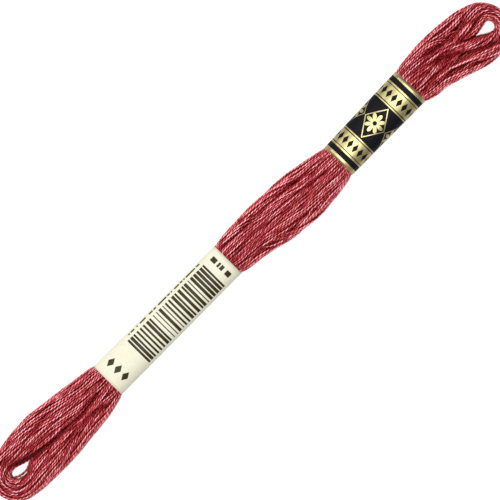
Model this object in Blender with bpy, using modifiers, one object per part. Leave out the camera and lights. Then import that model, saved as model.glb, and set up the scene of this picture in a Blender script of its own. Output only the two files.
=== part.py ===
"""A skein of embroidery floss, held by a cream paper band and a gilt paper band.

The floss is wound in turns and drawn out into two legs, which bend round a small eye at each end.
+X runs along the skein to the end near the gilt band, +Y across it, and +Z up from the table.
The origin is under the middle of the skein. Tables are in millimetres.
"""
import math
from collections import namedtuple

import bpy

MM = 0.001

# ---------------------------------------------------------------- driving dimensions (mm)
Bend = namedtuple("Bend", "x y eye_radius reach height side")
Section = namedtuple("Section", "x lower cleft upper gap split height")
Bundle = namedtuple("Bundle", "name girth upper_across upper_level lower_across lower_level")
Band = namedtuple("Band", "name x0 x1 y0 y1 width0 width1 height")

# The two bends: x and y of the centre, half the width of the eye, reach to the skein's end, height
# there, and which way the bend faces.
LEFT_BEND = Bend(-75.3, -0.95, 1.18, 7.05, 6.4, -1.0)
RIGHT_BEND = Bend(77.2, -0.75, 1.25, 5.15, 7.2, 1.0)
BEND_STEPS = 12                  # points round each bend
LEG_STEP = 1.6                   # distance between points along the legs
FLAT_DEPTH = 0.3                 # what the table takes off the rounded underside

PAPER = 1.0                      # thickness of a band's solid
CLEAR = 0.3                      # gap between a band and the floss
BAND_SIDES = 40                  # sides of a band's section
BAND_FOOT = 0.15                 # height of a band's underside over the table
BAND_SQUARENESS = 2.4            # exponent of the band's superellipse: 2 is an ellipse
GROOVE_DEPTH = 5.0               # how far the groove cutters reach out of the floss
TABLE_SIZE = (200.0, 40.0, 10.0) # block that cuts the underside flat
TUBE_RESOLUTION = 3              # how round a bundle is before the bundles melt together

VOXEL = 0.33                     # cell size that melts the bundles into one body
SMOOTH_STEPS = 2
KEPT_TRIANGLES = 0.068           # share of the fine triangles kept

# Sections of the hank from one eye to the other. The cleft is the line between the two legs, gap is
# half the opening there (below zero the legs press into each other), and split is 1 where the legs
# lie apart and 0 where they mix.
SECTION_TABLE = [
    # x, lower edge, cleft, upper edge, gap, split, height
    (-75.3, -7.90, -0.95, 6.10, 1.18, 1.0, 6.6),
    (-72.4, -7.95, -1.00, 6.70, 0.00, 1.0, 6.8),
    (-66.0, -7.95, -1.25, 7.50, -0.75, 1.0, 7.0),
    (-60.0, -7.55, -1.55, 7.50, -0.70, 0.8, 7.0),
    (-53.0, -6.45, -1.40, 6.25, -0.30, 0.4, 6.7),
    (-46.0, -5.10, 0.20, 5.50, 0.00, 0.0, 6.5),
    (-35.0, -4.40, 0.30, 5.20, 0.00, 0.0, 6.3),
    (-15.0, -3.70, 0.95, 5.60, 0.00, 0.0, 6.3),
    (-4.0, -3.35, 1.60, 6.45, 0.00, 0.0, 6.5),
    (3.0, -3.95, 1.65, 7.20, 0.00, 0.0, 6.9),
    (9.0, -5.30, 0.95, 7.35, 0.00, 0.0, 7.2),
    (16.0, -6.00, 0.60, 7.25, 0.00, 0.0, 7.2),
    (23.0, -5.50, 0.45, 6.35, 0.00, 0.0, 6.8),
    (29.0, -4.40, 0.40, 5.20, 0.00, 0.0, 6.4),
    (42.0, -4.05, 0.75, 5.60, 0.00, 0.0, 6.3),
    (54.5, -3.80, 1.40, 6.75, 0.00, 0.0, 6.5),
    (61.0, -4.70, 1.50, 7.95, -0.20, 0.3, 7.0),
    (68.0, -6.60, 0.60, 7.95, -0.60, 0.7, 7.3),
    (73.7, -7.70, -0.65, 7.10, 0.00, 1.0, 7.3),
    (77.2, -7.40, -0.75, 6.25, 1.25, 1.0, 7.2),
]

SECTIONS = [Section(*row) for row in SECTION_TABLE]

# Where each bundle of turns lies in its two legs. Across is 0 at the cleft and 1 or -1 at the edge,
# level is -1 at the table and 1 on top, and both are given at five places along the skein.
PLACES = (-66.0, -28.0, 13.0, 42.0, 66.0)
BUNDLE_TABLE = [
    # name, girth, upper leg across, upper leg level, lower leg across, lower leg level
    ("inner_top", 1.00, (0.05, 0.10, 0.30, 0.20, 0.02), (0.80, 0.95, 1.00, 0.90, 0.45),
     (-0.05, -0.25, -0.20, -0.30, -0.05), (0.95, 0.90, 0.95, 1.00, 0.95)),
    ("middle_top", 1.05, (0.50, 0.60, 0.75, 0.62, 0.35), (1.00, 0.75, 0.80, 0.80, 1.00),
     (-0.50, -0.62, -0.62, -0.70, -0.48), (0.80, 0.70, 0.75, 0.60, 0.70)),
    ("outer_top", 0.95, (1.00, 1.00, 1.00, 1.00, 0.92), (0.45, 0.05, 0.05, 0.10, 0.60),
     (-1.00, -1.00, -1.00, -1.00, -1.00), (0.35, 0.05, -0.10, -0.05, 0.15)),
    ("inner_low", 1.00, (0.10, 0.35, 0.15, 0.30, 0.12), (-0.75, 0.05, -0.05, 0.00, -0.60),
     (-0.08, -0.30, -0.35, -0.30, -0.10), (-0.70, -0.05, 0.10, 0.05, -0.55)),
    ("middle_low", 1.05, (0.55, 0.25, 0.30, 0.25, 0.60), (-1.00, -0.95, -1.00, -0.95, -0.90),
     (-0.52, -0.25, -0.22, -0.25, -0.55), (-1.00, -0.95, -0.95, -1.00, -1.00)),
    ("outer_low", 0.95, (0.95, 0.70, 0.72, 0.68, 1.00), (-0.60, -0.70, -0.75, -0.75, -0.40),
     (-0.94, -0.70, -0.70, -0.66, -0.90), (-0.65, -0.75, -0.80, -0.75, -0.70)),
]
BUNDLES = [Bundle(*row) for row in BUNDLE_TABLE]
BUNDLE_SWELL = 1.18              # makes neighbouring bundles press into each other

# Bands: x of both ends, y of the middle at both ends, widths at both ends, height.
BANDS = [
    Band("cream_band", -44.9, -4.95, 0.27, 1.49, 9.60, 9.30, 6.7),
    Band("gilt_band", 29.8, 54.15, 0.41, 1.54, 9.40, 10.10, 6.7),
]

FINISHES = {
    # name: base colour, roughness, metallic
    "floss": ((0.50, 0.055, 0.085, 1.0), 0.55, 0.0),
    "cream_band": ((0.93, 0.90, 0.74, 1.0), 0.60, 0.0),
    "gilt_band": ((0.62, 0.58, 0.30, 1.0), 0.35, 0.7),
}


# ---------------------------------------------------------------- scene and small helpers
def clear_scene():
    for item in list(bpy.data.objects):
        bpy.data.objects.remove(item, do_unlink=True)


def new_collection(name):
    collection = bpy.data.collections.new(name)
    bpy.context.scene.collection.children.link(collection)
    return collection


def finish(name):
    colour, roughness, metallic = FINISHES[name]
    material = bpy.data.materials.new(name)
    material.use_nodes = True
    shader = material.node_tree.nodes["Principled BSDF"]
    shader.inputs["Base Color"].default_value = colour
    shader.inputs["Roughness"].default_value = roughness
    shader.inputs["Metallic"].default_value = metallic
    material.diffuse_color = colour
    return material


def eased(xs, values, x):
    """The value at x between table entries, with no corner at an entry."""
    if x <= xs[0]:
        return values[0]
    if x >= xs[-1]:
        return values[-1]
    k = max(i for i in range(len(xs) - 1) if xs[i] <= x)
    span = xs[k + 1] - xs[k]
    f = (x - xs[k]) / span

    def slope(i):
        if i == 0 or i == len(xs) - 1:
            return 0.0
        return (values[i + 1] - values[i - 1]) / (xs[i + 1] - xs[i - 1])

    return ((2 * f ** 3 - 3 * f ** 2 + 1) * values[k]
            + (f ** 3 - 2 * f ** 2 + f) * span * slope(k)
            + (3 * f ** 2 - 2 * f ** 3) * values[k + 1]
            + (f ** 3 - f ** 2) * span * slope(k + 1))


# ---------------------------------------------------------------- the hank
SECTION_XS = [row.x for row in SECTIONS]


def section(x):
    """The hank's section at x, eased between the table's rows."""
    return Section(*(eased(SECTION_XS, column, x) for column in zip(*SECTIONS)))


def bundle_radius(width, height, girth):
    """Radius of a bundle where all of them pass twice through a section of this size."""
    return girth * BUNDLE_SWELL * math.sqrt(width * height / 4.0 / (2 * len(BUNDLES)))


def height_at(level, radius, height):
    """Height of a bundle's middle over the table."""
    return height / 2.0 + level * (height / 2.0 - radius) - FLAT_DEPTH / 2.0


def reach_of(cut, across):
    """Width of the leg on this side of the cleft."""
    return cut.upper - cut.cleft if across >= 0.0 else cut.cleft - cut.lower


def leg_points(across_row, level_row, girth):
    """Centres and radii of a bundle along one leg, from the left bend to the right bend."""
    first, last = SECTION_XS[0], SECTION_XS[-1]
    count = int(round((last - first) / LEG_STEP))
    points = []
    for step in range(count + 1):
        x = first + (last - first) * step / count
        across = eased(PLACES, across_row, x)
        level = eased(PLACES, level_row, x)
        cut = section(x)
        radius = bundle_radius(cut.upper - cut.lower, cut.height, girth)
        inner = cut.gap + radius * cut.split
        away = inner + abs(across) * (reach_of(cut, across) - radius - inner)
        y = cut.cleft + math.copysign(away, across)
        points.append((x, y, height_at(level, radius, cut.height), radius))
    return points


def bend_points(bend, cut, entry, leave, girth):
    """Points of a bundle round an eye. Entry and leave are its places across and level in the legs."""
    points = []
    for step in range(1, BEND_STEPS):
        share = step / BEND_STEPS
        angle = math.pi * share
        out = math.sin(angle) ** 2
        across = abs(entry[0]) + (abs(leave[0]) - abs(entry[0])) * share
        level = entry[1] + (leave[1] - entry[1]) * share
        side_reach = reach_of(cut, entry[0]) + (reach_of(cut, leave[0]) - reach_of(cut, entry[0])) * share
        reach = side_reach + (bend.reach - side_reach) * out
        height = cut.height + (bend.height - cut.height) * out
        radius = bundle_radius(2.0 * reach, height, girth)
        turn = bend.eye_radius + radius + across * max(reach - bend.eye_radius - 2.0 * radius, 0.0)
        points.append((bend.x + bend.side * turn * math.sin(angle),
                       bend.y - bend.side * turn * math.cos(angle),
                       height_at(level, radius, height), radius))
    return points


def bundle_loop(bundle):
    """A closed loop of (x, y, z, radius): upper leg, left bend, lower leg, right bend."""
    upper_leg = leg_points(bundle.upper_across, bundle.upper_level, bundle.girth)
    lower_leg = leg_points(bundle.lower_across, bundle.lower_level, bundle.girth)
    upper_places = list(zip(bundle.upper_across, bundle.upper_level))
    lower_places = list(zip(bundle.lower_across, bundle.lower_level))
    left = bend_points(LEFT_BEND, SECTIONS[0], upper_places[0], lower_places[0], bundle.girth)
    right = bend_points(RIGHT_BEND, SECTIONS[-1], lower_places[-1], upper_places[-1], bundle.girth)
    return upper_leg[::-1] + left + lower_leg + right


def tube_mesh(loop):
    """A closed tube whose girth follows the loop, as mesh data."""
    curve = bpy.data.curves.new("bundle", "CURVE")
    curve.dimensions = "3D"
    curve.bevel_depth = MM
    curve.bevel_resolution = TUBE_RESOLUTION
    spline = curve.splines.new("POLY")
    spline.points.add(len(loop) - 1)
    for point, (x, y, z, radius) in zip(spline.points, loop):
        point.co = (x * MM, y * MM, z * MM, 1.0)
        point.radius = radius
    spline.use_cyclic_u = True
    holder = bpy.data.objects.new("bundle", curve)
    bpy.context.scene.collection.objects.link(holder)
    bpy.context.view_layer.update()
    mesh = bpy.data.meshes.new_from_object(holder.evaluated_get(bpy.context.evaluated_depsgraph_get()))
    bpy.data.objects.remove(holder, do_unlink=True)
    return mesh


def join_meshes(name, meshes, collection):
    """One object with all the meshes' faces, as separate shells."""
    vertices = []
    faces = []
    for mesh in meshes:
        base = len(vertices)
        vertices += [tuple(v.co) for v in mesh.vertices]
        faces += [[base + i for i in polygon.vertices] for polygon in mesh.polygons]
    joined = bpy.data.meshes.new(name)
    joined.from_pydata(vertices, [], faces)
    joined.update()
    item = bpy.data.objects.new(name, joined)
    collection.objects.link(item)
    return item


def add_cut(item, cutter):
    cut = item.modifiers.new("cut by " + cutter.name, "BOOLEAN")
    cut.operation = "DIFFERENCE"
    cut.solver = "EXACT"
    cut.object = cutter


def build_floss(parts, cutters, grooves):
    """The bundles of turns melted into one body, flat underneath and grooved under the bands."""
    floss = join_meshes("floss", [tube_mesh(bundle_loop(bundle)) for bundle in BUNDLES], parts)
    melt = floss.modifiers.new("melt", "REMESH")
    melt.mode = "VOXEL"
    melt.voxel_size = VOXEL * MM
    soften = floss.modifiers.new("soften", "SMOOTH")
    soften.factor = 0.5
    soften.iterations = SMOOTH_STEPS
    thin = floss.modifiers.new("thin out", "DECIMATE")
    thin.ratio = KEPT_TRIANGLES
    for groove in grooves:
        add_cut(floss, groove)
    add_cut(floss, build_table(cutters))
    floss.data.materials.append(finish("floss"))


def build_table(cutters):
    """The table top, which presses the underside flat."""
    length, width, depth = (size * MM for size in TABLE_SIZE)
    bpy.ops.mesh.primitive_cube_add(size=1.0, location=(0.0, 0.0, -depth / 2.0))
    table = bpy.context.active_object
    table.name = "table_cutter"
    for vertex in table.data.vertices:
        vertex.co = (vertex.co.x * length, vertex.co.y * width, vertex.co.z * depth)
    as_cutter(table, cutters)
    return table


def move_to(item, collection):
    for old in list(item.users_collection):
        old.objects.unlink(item)
    collection.objects.link(item)


def as_cutter(item, cutters):
    move_to(item, cutters)
    item.hide_render = True
    item.display_type = "WIRE"


# ---------------------------------------------------------------- the paper bands
def sleeve(name, band, inset, reach, thickness):
    """An oval tube round a band's axis: inset inside the band's outer face, reach past each end."""
    bpy.ops.mesh.primitive_cylinder_add(vertices=BAND_SIDES, radius=1.0, depth=2.0, end_fill_type="NOTHING")
    item = bpy.context.active_object
    item.name = name
    item.data.name = name
    power = 2.0 / BAND_SQUARENESS
    slope = (band.y1 - band.y0) / (band.x1 - band.x0)
    for vertex in item.data.vertices:
        at_end = vertex.co.z > 0.0
        x = band.x1 + reach if at_end else band.x0 - reach
        width = band.width1 if at_end else band.width0
        across = math.copysign(abs(vertex.co.x) ** power, vertex.co.x) * (width / 2.0 - inset)
        up = math.copysign(abs(vertex.co.y) ** power, vertex.co.y) * (band.height / 2.0 - inset)
        y = band.y0 + slope * (x - band.x0) + across
        z = BAND_FOOT + band.height / 2.0 + up
        vertex.co = ((x - across * slope) * MM, y * MM, z * MM)
    item.data.update()
    wall = item.modifiers.new("wall", "SOLIDIFY")
    wall.thickness = thickness * MM
    wall.offset = 1.0
    wall.use_even_offset = True
    return item


def build_band(band, parts):
    item = sleeve(band.name, band, PAPER, 0.0, PAPER)
    move_to(item, parts)
    item.data.materials.append(finish(band.name))
    item.data.shade_smooth()


def build_groove(band, cutters):
    """What a band and its clearance take off the floss."""
    groove = sleeve("groove_" + band.name, band, PAPER + CLEAR, CLEAR, GROOVE_DEPTH)
    as_cutter(groove, cutters)
    return groove


def main():
    clear_scene()
    parts = new_collection("embroidery_floss_skein")
    cutters = new_collection("cutters")
    for band in BANDS:
        build_band(band, parts)
    build_floss(parts, cutters, [build_groove(band, cutters) for band in BANDS])


main()
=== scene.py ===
"""Looks of a skein of embroidery floss: 25 turns of six-strand thread, a cream band and a gilt band.

Every strand is a closed loop that runs along the upper leg, round the right eye, back along the lower
leg and round the left eye. The loops are laid out in planes across the skein, pressed apart until
they fill its outline, and drawn as two-ply twisted tubes. Lengths are in millimetres unless said
otherwise, in the frame of the model: +X along the skein, +Y across it and +Z up.
"""
import math
from functools import partialmethod

import bpy
import numpy as np
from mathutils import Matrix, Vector, noise


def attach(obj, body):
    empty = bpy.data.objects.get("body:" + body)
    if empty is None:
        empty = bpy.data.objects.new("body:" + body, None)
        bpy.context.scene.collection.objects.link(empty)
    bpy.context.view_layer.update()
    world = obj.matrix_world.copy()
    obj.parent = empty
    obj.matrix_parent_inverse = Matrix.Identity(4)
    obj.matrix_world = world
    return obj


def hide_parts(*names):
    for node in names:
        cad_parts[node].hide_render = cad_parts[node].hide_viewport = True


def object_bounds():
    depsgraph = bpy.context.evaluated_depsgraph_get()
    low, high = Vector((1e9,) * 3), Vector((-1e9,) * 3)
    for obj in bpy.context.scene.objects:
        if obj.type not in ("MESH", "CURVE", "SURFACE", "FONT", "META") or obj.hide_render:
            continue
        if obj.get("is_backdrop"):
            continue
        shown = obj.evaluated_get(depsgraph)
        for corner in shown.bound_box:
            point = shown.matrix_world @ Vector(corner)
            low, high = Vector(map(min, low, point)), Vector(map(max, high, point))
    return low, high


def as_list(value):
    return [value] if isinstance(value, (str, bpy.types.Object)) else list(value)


MM = 0.001
TINY = 1e-6  # keeps a division from one by nothing

# ---- the hank's outline (mm)
# The bends: the eye's middle and radius, reach to the skein's end, height there, and the length of
# legs beside it in which strands turn more sharply.
LEFT_EYE = dict(x=-75.85, y=-1, radius=1.05, reach=6.35, height=6.6, supple=9)
RIGHT_EYE = dict(x=77.2, y=-0.95, radius=1.22, reach=4.95, height=7.1, supple=4)

# The paper bands: x and y of both ends' middles, widths there and height, as in the CAD model.
BANDS = {
    "cream_band": dict(x0=-44.9, x1=-4.95, y0=0.27, y1=1.49, width0=9.6, width1=9.3, height=6.7),
    "gilt_band": dict(x0=29.8, x1=54.15, y0=0.41, y1=1.54, width0=9.4, width1=10.1, height=6.7),
}
BAND_FOOT = 0.15  # between a band and the table
BAND_SQUARENESS = 2.4
PAPER = 0.12  # its thickness
OVERLAP = 4  # of the paper's glued ends, under the band
SLACK = 0.06  # between a band and the strands in it
FLAP_RISE, FLAP_LIFT = 0.8, 1.05  # length of the step up there, and its height in papers
PAPER_WAVE, PAPER_WAVE_LENGTH = 0.05, 5  # how far the paper stands off, and over what length
BAND_ROWS, BAND_COLUMNS = 40, 120

# Outside the bands: x, lower edge, cleft between the legs, upper edge, half the gap there,
# split (1 apart, 0 mixed), foot and top of the section.
LOOSE_SECTIONS = [
    (-75.85, -7.75, -1, 5.7, 1.05, 1, 0, 6.6), (-74.6, -7.95, -1.2, 6.05, 1.2, 1, 0, 6.7),
    (-73.3, -8.05, -1.3, 6.4, 0.9, 1, 0, 6.8), (-72.4, -8.05, -1.2, 6.6, 0.1, 1, 0, 6.9),
    (-71.6, -8.05, -1, 6.75, -0.8, 1, 0, 6.95), (-70.5, -8, -0.75, 6.9, -1.1, 1, 0, 7),
    (-68, -8, -0.7, 7.4, -0.8, 1, 0, 7), (-64, -7.85, -1.2, 8.35, -0.8, 1, 0, 7.05),
    (-61.5, -7.65, -1.35, 8.45, -0.8, 1, 0, 7.05), (-58, -7.15, -1.45, 7.85, -0.7, 0.8, 0, 7),
    (-55.5, -6.85, -1.45, 6.55, -0.5, 0.7, 0, 6.95), (-53, -6.5, -1.4, 6.15, -0.4, 0.5, 0, 6.9),
    (-48.6, -6.15, 0, 5.65, 0, 0, 0.05, 6.9), (-46.4, -6.15, 0.2, 5.45, 0, 0, 0.1, 6.9),
    (-3.6, -3.5, 1.6, 6.45, 0, 0, 0.1, 6.9), (0.8, -3.95, 1.65, 6.9, 0, 0, 0, 7),
    (5.5, -4.7, 1.3, 7.2, 0, 0, 0, 7.05), (10.2, -5.7, 0.95, 8, 0, 0, 0, 7.1),
    (13.5, -5.75, 0.8, 8, 0, 0, 0, 7.1), (17, -6.1, 0.6, 7.6, 0, 0, 0, 7.1),
    (20, -5.95, 0.45, 6.9, 0, 0, 0, 7), (24.5, -5.35, 0.45, 6, 0, 0, 0, 6.95),
    (28.4, -4.6, 0.4, 5.2, 0, 0, 0.1, 6.9), (55.5, -4.8, 1.4, 6.9, 0, 0, 0.1, 6.9),
    (59.5, -4.5, 1.5, 7.55, 0, 0, 0, 7), (64.2, -5.6, 1.2, 7.8, 0, 0, 0, 7.1),
    (68.9, -7.05, 0.4, 7.9, -0.6, 0, 0, 7.1), (71.8, -8.1, -0.45, 7.45, -0.6, 0.4, 0, 7.1),
    (73.9, -8.2, -0.85, 7.35, -0.4, 1, 0, 7.1), (75.4, -8, -0.92, 7.2, 0.6, 1, 0, 7.1),
    (77.2, -7.6, -0.95, 6.4, 1.18, 1, 0, 7.1)
]


def banded_sections():
    """The sections at both ends of each band: what its paper leaves to the strands."""
    rows = []
    for band in BANDS.values():
        for end in "01":
            half = band["width" + end] / 2 - PAPER - SLACK
            middle = band["y" + end]
            rows.append((band["x" + end], middle - half, middle, middle + half, 0, 0,
                         BAND_FOOT + PAPER + SLACK, BAND_FOOT + band["height"] - PAPER - SLACK))
    return rows


SECTIONS = np.array(sorted(LOOSE_SECTIONS + banded_sections()))
SQUARENESS = 2.3  # exponent of the outline's superellipse: 2 is an ellipse
LEAST_HALF = 0.05  # of a section's width

# Furrows in the top: the line they follow (x, y), their depth and width.
FURROWS = [
    ([(-75.6, 1.3), (-73.6, 0.9), (-71.5, 0.1), (-70.4, -0.4), (-68.3, -0.6), (-65, -1.1)], 1.9, 0.5),
    ([(-68, -0.6), (-65, -1.1), (-62, -1.15), (-60.4, -1), (-57.5, -1.3), (-55.5, -1.6)], 1.5, 0.45),
    ([(-73.6, 0.4), (-72.4, 0), (-71, -0.4)], 1.4, 0.7),
    ([(-60, -1.6), (-58, -2.3), (-55, -2.8), (-51, -3.1)], 1.2, 0.5),
    ([(-64.5, -4), (-61.5, -3.5), (-59.4, -4)], 1.1, 0.35),
    ([(-68, 3.3), (-65, 3.5), (-62, 3.8)], 1, 0.35),
    ([(-71.7, 2), (-69, 1.65), (-66, 1.25), (-64, 1.2)], 1, 0.35),
    ([(-2.5, 4.3), (3.8, 4.2), (7.8, 4.5), (14.4, 4), (20, 3.6)], 0.8, 0.35),
    ([(14, 5.5), (16.7, 4.8), (19, 3.7)], 0.7, 0.35),
    ([(17, 1.7), (21.2, 1), (26.4, 0.7)], 0.7, 0.35),
    ([(12.3, 0.5), (15.3, -0.3), (19, -0.5)], 0.6, 0.35),
    ([(13, -2.9), (15.1, -3.3), (18.9, -3.9), (23.8, -3.8), (28.3, -2.8)], 0.6, 0.45),
    ([(2, -2), (6, -2.9), (9.5, -4)], 0.8, 0.35),
    ([(63.1, 4.1), (66.3, 3.5), (70.6, 3.3), (73.1, 3.7)], 2, 0.9),
    ([(58.9, -0.6), (61.9, -0.5), (64, -0.65), (66.8, -1.5)], 1.5, 0.45),
    ([(64, 1.2), (66.1, 0.3), (68.2, -1.35), (70.3, -2.6), (72.4, -3.6), (74.6, -4.6)], 2.2, 0.8),
    ([(63.7, -2.5), (66.1, -3.2), (68.2, -4.4), (69.6, -5.3)], 1.4, 0.4),
    ([(68.5, 1.9), (69.4, 1.45), (71, 1.05), (73.1, 1.2), (75.3, 1.9), (76.7, 2.2)], 1.7, 0.55),
    ([(60, 2.3), (62, 2.1), (64.5, 1.75)], 1, 0.35),
]
# A strand that crosses the left eye on its own.
STRAY_STRAND = [(-78.2, -0.6, 2.9), (-77, -1.2, 3.2), (-76.1, -1.65, 3.3), (-74.6, -2, 3.3),
                (-73.2, -1.9, 3.3), (-72.2, -1.45, 3.3), (-71.2, -0.95, 3.1), (-69.8, -0.75, 2.8)]
# STRAY_OPENNESS sets how much painted shade darkens the stray strand.
STRAY_WIDTH, STRAY_OPENNESS, STRAY_STEPS = 0.56, 0.45, 40
FURROW_FADE = 3  # length over which a furrow runs out
BEND_GROOVES = (0.22, 0.42, 0.6, 0.78)  # round the bends: shares of the way from the eye to the rim
GROOVE_DEPTH, GROOVE_WIDTH = 0.7, 0.3

# Where each bundle of turns lies along both legs: x, y, and level from -1 on the table to 1 on top,
# which is that of the point before where it isn't given. Both tracks meet round the eyes.
BUNDLES = {
    "outer_top": dict(threads=4, upper=[
        (-75.3, 5.2, 0.5), (-66, 6.3, 0.6), (-55, 5.2), (-44, 3.6), (-5, 4.7, 0.5), (4, 5.8, 0.6),
        (10, 6.5), (14, 6.5), (22, 4.4, 0.9), (30, 3.4, 0.8), (54, 5.4, 0.6), (61, 6.8),
        (67, 6.9, 0.7), (72, 6.1), (77.2, 5.2, 0.6)], lower=[
        (-75.3, -6.8, 0.5), (-72, -6, 0.9), (-68.5, -4.5, 1), (-62, -4.3), (-54, -3.9), (-44, -3, 0.8),
        (-5, -2, 0.7), (3, -3), (9, -4.4, 0.4), (14, -5, 0), (22, -4.4, -0.2), (30, -3, 0),
        (54, -2.5, 0.4), (61, -3.8, 0.5), (67, -5.6), (72, -7.1, 0.4), (77.2, -6.5)]),
    "middle_top": dict(threads=4, upper=[
        (-75.3, 3.6, 1), (-66, 4.2), (-55, 3.2), (-44, 2), (-5, 3), (8, 3), (16, 2.6), (30, 1.4),
        (54, 3.7), (61, 5), (67, 5), (72, 4.4), (77.2, 3.6)], lower=[
        (-75.3, -5.2, 1), (-73, -4), (-71, -2.7), (-69, -2.3), (-64, -2.4), (-54, -2.4), (-44, -1.4),
        (-5, -0.6), (5, -0.8), (16, -1.8), (30, -1.6, 0.9), (54, -0.6, 1), (61, -0.7), (65, -1.9),
        (69, -4), (73, -5.2), (77.2, -5)]),
    "inner_top": dict(threads=4, upper=[
        (-75.3, 0.9, 0.4), (-74.5, 0.6), (-73.3, 0.1), (-72.3, -0.3), (-71.3, -0.6), (-70, -0.2),
        (-66, 0.1, 0.6), (-58, 0, 1), (-44, 0.6), (-5, 1.6), (8, 1.2), (16, 1.2), (30, 0.2),
        (54, 2.8, 0.4), (61, 3.2, 0.3), (67, 2.9, 0.4), (71, 2, 0.6), (74, 1, 0.7),
        (77.2, 1.4)], lower=[
        (-75.3, -3.3, 0.9), (-73.9, -3.2, 1), (-73, -2.7), (-72, -1.7), (-71, -1), (-68, -1.2, 0.7),
        (-64, -1.7, 0.6), (-60, -2, 0.5), (-52, -1.3, 0.6), (-44, -0.4, 0.8), (-5, 0.6, 1), (8, -0.9),
        (16, -0.9), (30, -0.8), (54, 1.6), (60, 3.4), (63.8, 3.4), (66.3, 2.8), (68.4, 1.5),
        (70.7, -0.4), (73, -2.6, 0.9), (77.2, -3, 0.7)]),
    "inner_low": dict(threads=4, upper=[
        (-75.3, 0.9, -0.5), (-74.5, 0.6), (-73.3, 0.1), (-72.3, -0.4), (-71.3, -0.7), (-70, -0.4),
        (-66, -0.2, -0.4), (-44, 1, 0), (-5, 1.8, 0.1), (12, 2.2, 0), (30, 1.2), (54, 2.2, -0.3),
        (66, 2.6, -0.4), (71, 1.4), (74, 0.6), (77.2, 1.3)], lower=[
        (-75.3, -3.1, -0.3), (-73.9, -3.1, -0.4), (-73, -2.6), (-72, -1.6), (-71, -1.1), (-66, -1.8),
        (-44, -1.2, 0), (-5, 0.2, 0.1), (12, -1, 0), (30, -0.8), (54, 0.6, 0.4), (63, 1.4, 0.5),
        (66.5, 0.4, 0.6), (70, -1.9, 0.5), (73, -3.4, 0.3), (77.2, -3.6, -0.1)]),
    "middle_low": dict(threads=5, upper=[
        (-75.3, 3.2, -0.9), (-66, 3.6), (-44, 1.8), (-5, 2.6), (12, 2.8), (30, 1.6), (54, 2.8),
        (66, 4.2), (77.2, 3)], lower=[
        (-75.3, -4.8, -0.9), (-66, -4.4), (-44, -1.4), (-5, -0.2), (12, -1.6), (30, -0.8), (54, 0),
        (66, -2.6), (77.2, -4.6)]),
    "outer_low": dict(threads=4, upper=[
        (-75.3, 4.8, -0.5), (-66, 6), (-44, 3.4, -0.4), (-5, 4.4), (12, 5.4, -0.5), (30, 3.2, -0.4),
        (54, 4.8, -0.5), (66, 6.8), (77.2, 4.8)], lower=[
        (-75.3, -6.6, -0.6), (-70, -7, -0.1), (-64, -6.6, 0.4), (-54, -5.4), (-44, -3.6, 0.3),
        (-5, -1.8, -0.4), (6, -3.4), (12, -4.7, 0), (17, -5.1, 0.3), (23, -4.5), (30, -3, 0.2),
        (54, -1.8, -0.4), (66, -4.9, -0.6), (72, -6.8), (77.2, -6.4)]),
}

# ---- the strands (mm)
STRANDS = 6  # in a thread
LEG_PLANES = 139  # planes across both legs
BEND_PLANES = 14  # planes across each bend
BEND_POWER = 0.75  # of the sine by which a bend swells from its legs to its tip
SUPPLE_HOLD, HOLD_FADE = 0.6, 6  # share of the smoothing by the eyes, and how soon all of it holds
TRACK_MARGIN = 0.9  # between the highest bundles' middle and the top
TURNS_OF_BUNDLE = 2  # of a bundle's threads about each other in one loop
TURNS_OF_THREAD = (3, 8)  # of a thread's strands: 3 to 7
BUNDLE_RADIUS, THREAD_RADIUS = 0.8, 0.42  # how far threads and strands start from their common middle
THREAD_WAVES, STRAND_WAVES = (4, 24), (8, 45)  # least waves in one loop, and one past the most
WAVE_TERMS, WAVE_HEIGHT = 5, 0.15
SINK, STRAND_SINK = 0.25, 0.12  # how much a thread, and a strand, may lie below its neighbours

PACKING, FILL = 0.866, 0.8  # a part's room over its width squared, and the share of a plane in use
PUSH = 0.7  # share of an overlap that one round removes
NEIGHBOURS, RENEWED = 12, 12  # how many are looked at, and for how many rounds they are kept
SKIN_DEPTH = 0.35  # share of a section in which widths change from the outline inwards
THREAD_ROUNDS, THREAD_SMOOTHING, THREAD_WIDTH = 60, 0.8, 1.25
STRAND_ROUNDS, STRAND_SMOOTHING = 90, 0.55
GUIDE_PULL = 0.06  # share of the way to its guide that a thread takes in a round
THREAD_PULL, THREAD_REACH = 0.25, 0.66  # the same for a strand this far from its thread's middle
SURFACE_WIDTH = 0.58  # of a strand at the hank's surface
GROUPED, UNGROUPED = 0.93, 1.13  # spacing, in widths, of strands of one thread and of two

WIDEST, NARROWEST = 0.64, 0.42  # of a strand: loose, and pressed
WIDTH_SMOOTHING, OPEN_SMOOTHING = (0.8, 4), (0.6, 2)  # share and rounds, for widths and for openness
PLY_PITCH, PITCH_RANGE = 2, (0.88, 1.12)  # length of one turn of the two plies, and its spread
PLY_START = (0, 6.283)  # range of the angle of a strand's first ring
RING_STEP, PLAIN_STEP = 0.27, 1.5  # between the rings of a strand, and of one that is hidden
RING_SIDES, PLAIN_SIDES = 8, 5
FINE_STEPS = 6  # points on a strand's curve for each station
PLY_OFFSET, PLY_RADIUS = 0.39, 0.61  # of half the strand's width
# A hidden strand's plain round: its radius, and its crest share in the painted light.
PLAIN_RADIUS, PLAIN_CREST = 0.9, 0.5
FIBRE_TURN = 1.1  # length in which a strand's fibres turn by one radian
FIBRE_SPREAD, FIBRE_OFFSET = 3.5, 7  # how fine they lie side by side, and strands' steps in the noise
TINT, THREAD_TINT, STRAND_TINT = 0.06, 0.5, 0.8  # spread of the shade, and each one's part in it
FULL_PIECE = 190_000  # triangles past which a new piece begins
SEED = 4711
BURIED, ZONE_MARGIN = 2, 1  # how far strands are drawn into a band, and what counts as its end

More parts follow.
